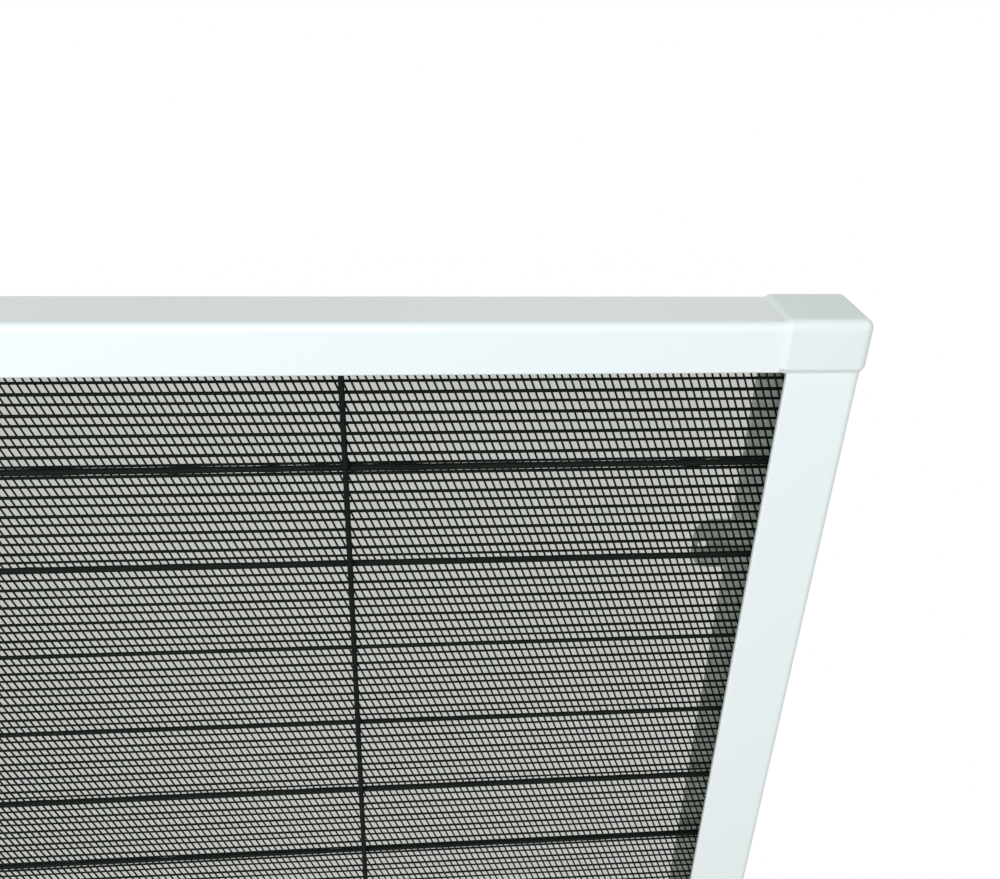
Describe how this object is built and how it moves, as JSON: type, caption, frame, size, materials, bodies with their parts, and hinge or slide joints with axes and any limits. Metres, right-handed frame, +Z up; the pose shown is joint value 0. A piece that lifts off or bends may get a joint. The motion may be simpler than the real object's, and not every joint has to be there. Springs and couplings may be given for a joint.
{
  "type": "roof window insect screen",
  "caption": "Slim white frame with a black pleated insect mesh drawn flat along guide cords; a pull bar slides up the side rails to fold the mesh away, and rear lugs screw it to a window.",
  "frame": {"origin": "centre of the four lug holes, on the fixing plane at the back of the frame", "axes": "+X to the right seen from the room, +Y out of the back towards the window, +Z up along the side rails"},
  "size_m": [0.5512, 0.0208, 0.7812],
  "materials": {
    "white_powder_coat": "satin white powder coat on aluminium",
    "dull_zinc_steel": "dull grey zinc plated steel",
    "white_moulded_plastic": "fine-textured white moulded plastic",
    "grey_pile": "short grey pile",
    "black_cord": "black braided cord",
    "bare_aluminium": "plain aluminium",
    "grey_moulded_plastic": "light grey moulded plastic",
    "black_mesh": "black woven monofilament mesh",
    "zinc_screw": "zinc plated steel",
    "magnet_rubber": "flexible magnet"
  },
  "bodies": {
    "screen_frame": {"top_rail": "white_powder_coat", "bottom_rail": "white_powder_coat", "left_side_rail": "white_powder_coat", "right_side_rail": "white_powder_coat", "top_left_corner_cap": "white_moulded_plastic", "bottom_left_corner_cap": "white_moulded_plastic", "top_right_corner_cap": "white_moulded_plastic", "bottom_right_corner_cap": "white_moulded_plastic", "top_left_mounting_lug": "dull_zinc_steel", "bottom_left_mounting_lug": "dull_zinc_steel", "top_right_mounting_lug": "dull_zinc_steel", "bottom_right_mounting_lug": "dull_zinc_steel", "top_back_seal": "grey_pile", "bottom_back_seal": "grey_pile", "left_back_seal": "grey_pile", "right_back_seal": "grey_pile", "left_guide_cord": "black_cord", "right_guide_cord": "black_cord", "left_cord_top_stop": "bare_aluminium", "left_cord_bottom_stop": "bare_aluminium", "right_cord_top_stop": "bare_aluminium", "right_cord_bottom_stop": "bare_aluminium", "lug_rivets": "bare_aluminium", "left_cord_block": "grey_moulded_plastic", "right_cord_block": "grey_moulded_plastic", "top_mesh_strip": "grey_moulded_plastic", "pleated_mesh": "black_mesh", "magnet_strip": "magnet_rubber"},
    "sliding_bar": {"pull_bar": "white_powder_coat", "bar_mesh_strip": "grey_moulded_plastic", "pull_grip": "white_moulded_plastic", "grip_screws": "zinc_screw", "steel_strip": "zinc_screw", "left_end_glide": "grey_moulded_plastic", "right_end_glide": "grey_moulded_plastic", "left_cord_eyelet": "grey_moulded_plastic", "right_cord_eyelet": "grey_moulded_plastic"}
  },
  "joints": [
    {"name": "bar_slide", "type": "slide", "parent": "screen_frame", "child": "sliding_bar", "axis": [0, 0, 1], "range_m": [0, 0.7], "deforming": ["pleated_mesh"]}
  ]
}
